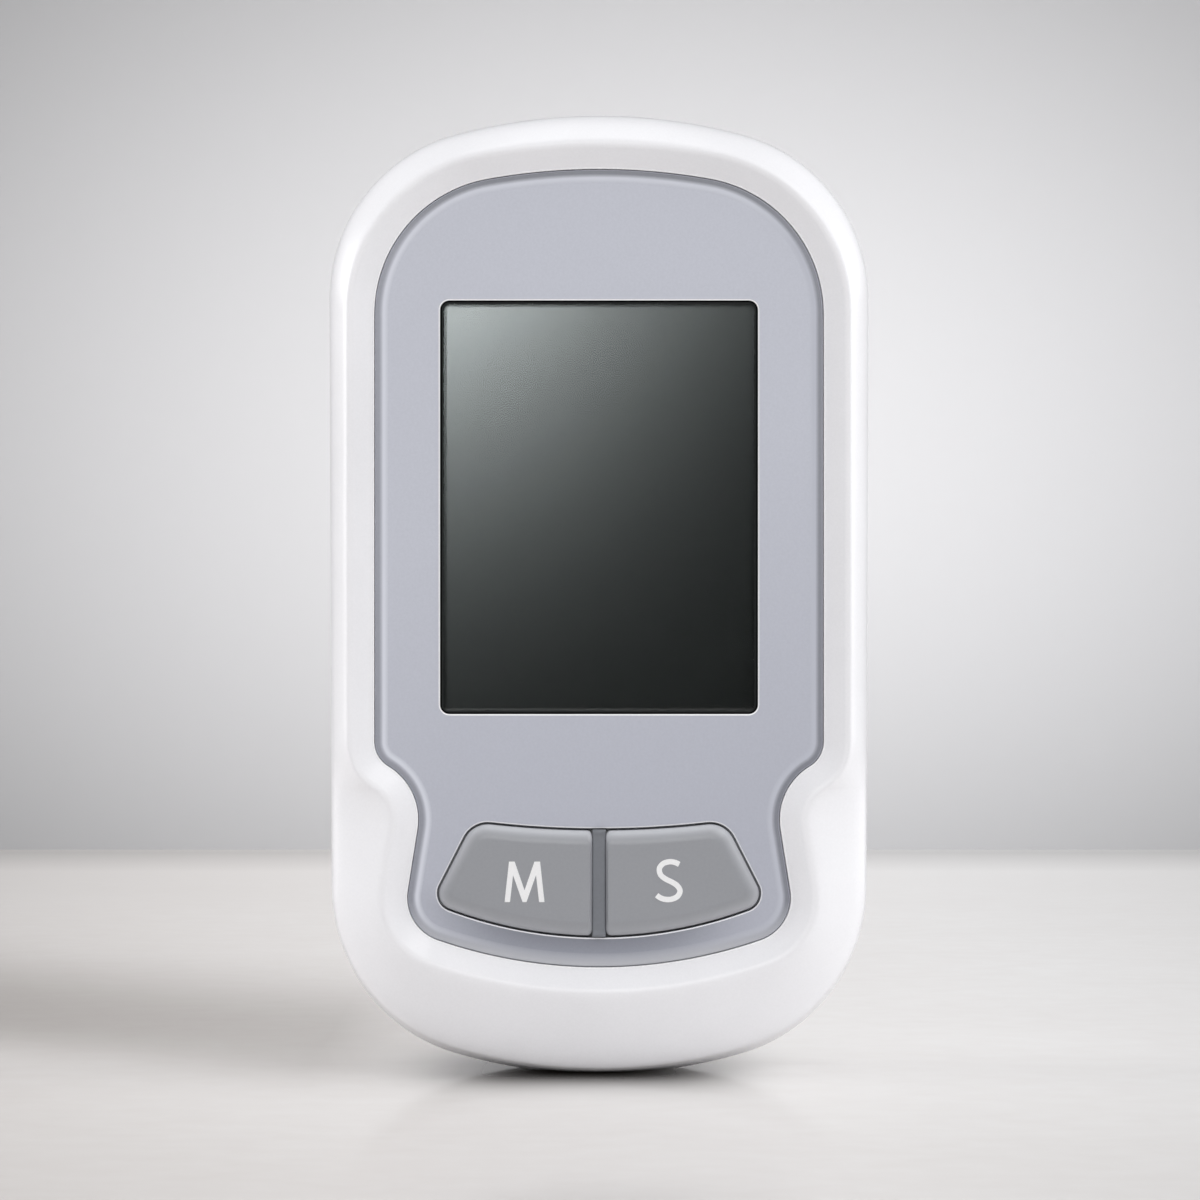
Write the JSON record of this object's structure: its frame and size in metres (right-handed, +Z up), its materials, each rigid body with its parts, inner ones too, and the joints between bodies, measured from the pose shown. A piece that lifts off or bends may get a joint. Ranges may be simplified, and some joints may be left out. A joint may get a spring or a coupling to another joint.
{
  "type": "cholesterol meter",
  "caption": "Handheld cholesterol meter: white two-part case, grey faceplate with a display window, two press keys, a strip port in the top end and a hinged battery door.",
  "frame": {"origin": "centre of the bounding box at its lowest face, the flat foot that the meter stands on", "axes": "+Z up the meter as it stands, window and keys face -Y, +X to the right of someone facing the window"},
  "size_m": [0.0552, 0.022, 0.098],
  "materials": {
    "case_white": "satin moulded ABS",
    "faceplate_grey": "satin moulded ABS, cool light grey",
    "lens_clear": "hard-coated clear acrylic with a dark border",
    "gasket_foam": "black closed-cell foam",
    "polariser_film": "dark polarising film",
    "display_glass": "thin float glass",
    "reflector_film": "satin transflective film",
    "frame_black": "moulded ABS",
    "zebra_rubber": "layered silicone contact strip",
    "key_grey": "satin moulded key caps",
    "keypad_rubber": "silicone rubber",
    "carbon_pill": "carbon-filled silicone",
    "contact_gold": "thin gold plating",
    "board_green": "solder-masked glass epoxy",
    "chip_black": "moulded epoxy package",
    "can_steel": "drawn can",
    "can_aluminium": "sleeveless can",
    "chip_parts": "fired ceramic chips",
    "screw_steel": "zinc-plated steel",
    "cell_jacket": "foil-jacketed cell",
    "contact_nickel": "nickel-plated spring steel",
    "port_grey": "satin moulded insert",
    "connector_black": "moulded socket"
  },
  "bodies": {
    "case": {"front_shell": "case_white", "rear_shell": "case_white", "faceplate": "faceplate_grey", "window_lens": "lens_clear", "lens_gasket": "gasket_foam", "lcd_front_polariser": "polariser_film", "lcd_front_glass": "display_glass", "lcd_rear_glass": "display_glass", "lcd_reflector": "reflector_film", "lcd_frame": "frame_black", "zebra_connectors": "zebra_rubber", "keypad_mat": "keypad_rubber", "key_contact_pads": "contact_gold", "main_board": "board_green", "controller_chip": "chip_black", "crystal": "can_steel", "buzzer": "frame_black", "reservoir_capacitor": "can_aluminium", "board_parts": "chip_parts", "case_screws": "screw_steel", "board_screws": "screw_steel", "battery_left": "cell_jacket", "battery_right": "cell_jacket", "battery_link_plate": "contact_nickel", "battery_terminal_left": "contact_nickel", "battery_terminal_right": "contact_nickel", "strip_port_guide": "port_grey", "strip_connector": "connector_black", "strip_contacts": "contact_gold"},
    "memory_button": {"memory_key": "key_grey", "memory_key_plunger": "keypad_rubber", "memory_key_pill": "carbon_pill"},
    "set_button": {"set_key": "key_grey", "set_key_plunger": "keypad_rubber", "set_key_pill": "carbon_pill"},
    "door": {"battery_door": "case_white"}
  },
  "joints": [
    {"name": "memory_key_press", "type": "slide", "parent": "case", "child": "memory_button", "axis": [0, 1, 0], "range_m": [0, 0.0008], "stiffness_N_per_m": 1875},
    {"name": "set_key_press", "type": "slide", "parent": "case", "child": "set_button", "axis": [0, 1, 0], "range_m": [0, 0.0008], "stiffness_N_per_m": 1875},
    {"name": "battery_door_hinge", "type": "hinge", "parent": "case", "child": "door", "pos_m": [0, 0.0099, 0.0709], "axis": [1, 0, 0], "range_deg": [0, 75]}
  ]
}
